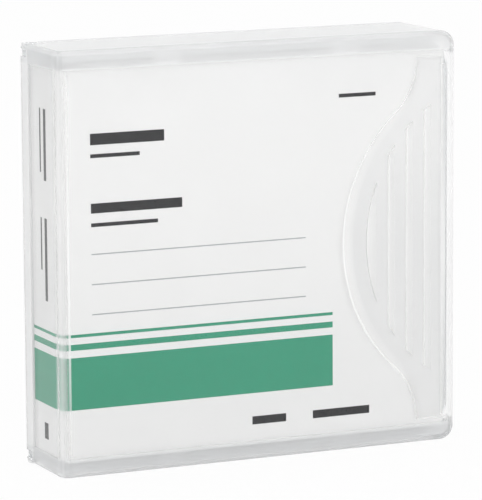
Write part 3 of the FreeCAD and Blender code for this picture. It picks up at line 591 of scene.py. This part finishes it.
def print_card():
    """A band of green with two rules over it, ruled lines to write on, and small marks.

    Each field is its start and stop along the card from the fold, below zero on the spine, and
    its foot and top above the floor, in millimetres.
    """
    band = [(-19.0, 78.0, 18.0, 32.0), (-19.0, 78.0, 34.0, 35.6), (-19.0, 78.0, 37.4, 38.2)]
    heights = [FIRST_RULE + RULE_PITCH * i for i in range(RULES)]
    ruled = [(8.0, 70.0, height, height + RULE_THICK) for height in heights]
    front_marks = [
        (8.0, 29.0, 88.0, 91.0), (8.0, 22.0, 84.6, 85.6), (8.0, 34.0, 70.0, 72.6),
        (8.0, 27.0, 66.4, 67.4), (80.0, 91.0, 96.4, 97.4), (54.0, 64.0, 9.4, 11.6),
        (72.0, 89.0, 9.4, 11.6),
    ]
    spine_marks = [
        (-9.6, -8.0, 78.0, 97.0), (-12.4, -11.6, 80.0, 97.0), (-9.6, -8.0, 46.0, 68.0),
        (-12.4, -11.6, 54.0, 68.0), (-11.6, -9.0, 8.6, 13.0),
    ]
    printed("green_band", ink("green_ink", GREEN), band)
    printed("ruled_lines", ink("grey_ink", PALE_GREY), ruled)
    printed("charcoal_marks", ink("charcoal_ink", CHARCOAL), front_marks + spine_marks)


# ---- Spring ----

def pressed_spring():
    """The brake's spring as a piece of its own, which goes with the tray."""
    coil = new_object("pressed_spring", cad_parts["brake_spring"].data.copy())
    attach(coil, "tray")
    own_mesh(coil)
    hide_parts("brake_spring")


# ---- Studio ----

def add_camera():
    """The camera at the viewing angle, aimed near the middle of the case."""
    azimuth, elevation = math.radians(AZIMUTH), math.radians(ELEVATION)
    back = Vector((
        math.sin(azimuth) * math.cos(elevation),
        -math.cos(azimuth) * math.cos(elevation),
        math.sin(elevation),
    ))
    data = bpy.data.cameras.new("camera")
    data.lens = LENS
    camera = new_object("camera", data)
    turn = (-back).to_track_quat("-Z", "Y").to_matrix() @ Matrix.Rotation(math.radians(ROLL), 3, "Z")
    aim = Vector((0.0, 0.0, AIM_HEIGHT * HEIGHT))
    camera.matrix_world = Matrix.Translation(aim + back * DISTANCE * HEIGHT) @ turn.to_4x4()
    bpy.context.scene.camera = camera


def white_to_eye(owner):
    """A factor of 1 for what the camera sees straight, in a reflection or through plastic."""
    path = owner.node_tree.nodes.new("ShaderNodeLightPath")
    rays = [path.outputs[ray] for ray in ("Is Camera Ray", "Is Glossy Ray", "Is Transmission Ray")]
    return combine(owner, "MAXIMUM", *rays)


def add_world():
    """A white surround, which fills the shadows at a lower level than it shows."""
    world = bpy.data.worlds.new("surround")
    world.use_nodes = True
    bpy.context.scene.world = world
    background = world.node_tree.nodes["Background"]
    background.inputs["Color"].default_value = (1.0, 1.0, 1.0, 1.0)
    strength = span(world, white_to_eye(world), FILL_STRENGTH, WHITE_STRENGTH)
    world.node_tree.links.new(strength, background.inputs["Strength"])


def add_floor():
    """A pale floor that shows white, with the shadow kept."""
    mesh = bmesh.new()
    bmesh.ops.create_grid(mesh, x_segments=1, y_segments=1, size=FLOOR_HALF * HEIGHT)
    grey = (FLOOR_GREY, FLOOR_GREY, FLOOR_GREY, 1.0)
    material = new_material("floor", Base_Color=grey, Roughness=0.9, Specular_IOR_Level=0.0)
    glow = material.node_tree.nodes.new("ShaderNodeEmission")
    glow.inputs["Strength"].default_value = WHITE_STRENGTH
    seen = math_node(material, "MULTIPLY", white_to_eye(material), FLOOR_GLOW)
    mix_in(material, seen, glow.outputs["Emission"])
    floor = new_object("floor", new_mesh("floor", mesh, material))
    floor.location.z = CAD_BOX[0].z


def add_lamp(name, position, size, power):
    """A square soft lamp that faces the middle of the case."""
    data = bpy.data.lights.new(name, "AREA")
    data.size = size * HEIGHT
    data.energy = power
    lamp = new_object(name, data)
    aim = Vector((0.0, 0.0, HEIGHT / 2))
    lamp.location = aim + Vector(position) * HEIGHT
    lamp.rotation_mode = "QUATERNION"
    lamp.rotation_quaternion = (aim - lamp.location).to_track_quat("-Z", "Y")


def follow_light():
    """Gives light enough bounces to follow the clear walls to their edges."""
    cycles = bpy.context.scene.cycles
    cycles.max_bounces = 20
    cycles.diffuse_bounces = 8
    cycles.glossy_bounces = 16
    cycles.transmission_bounces = 20
    cycles.transparent_max_bounces = 20


dress(FINISHES)
follow_light()
print_card()
pressed_spring()
add_camera()
add_world()
add_floor()
for lamp_name, lamp_values in LAMPS.items():
    add_lamp(lamp_name, *lamp_values)
bpy.context.scene.view_settings.view_transform = "Standard"
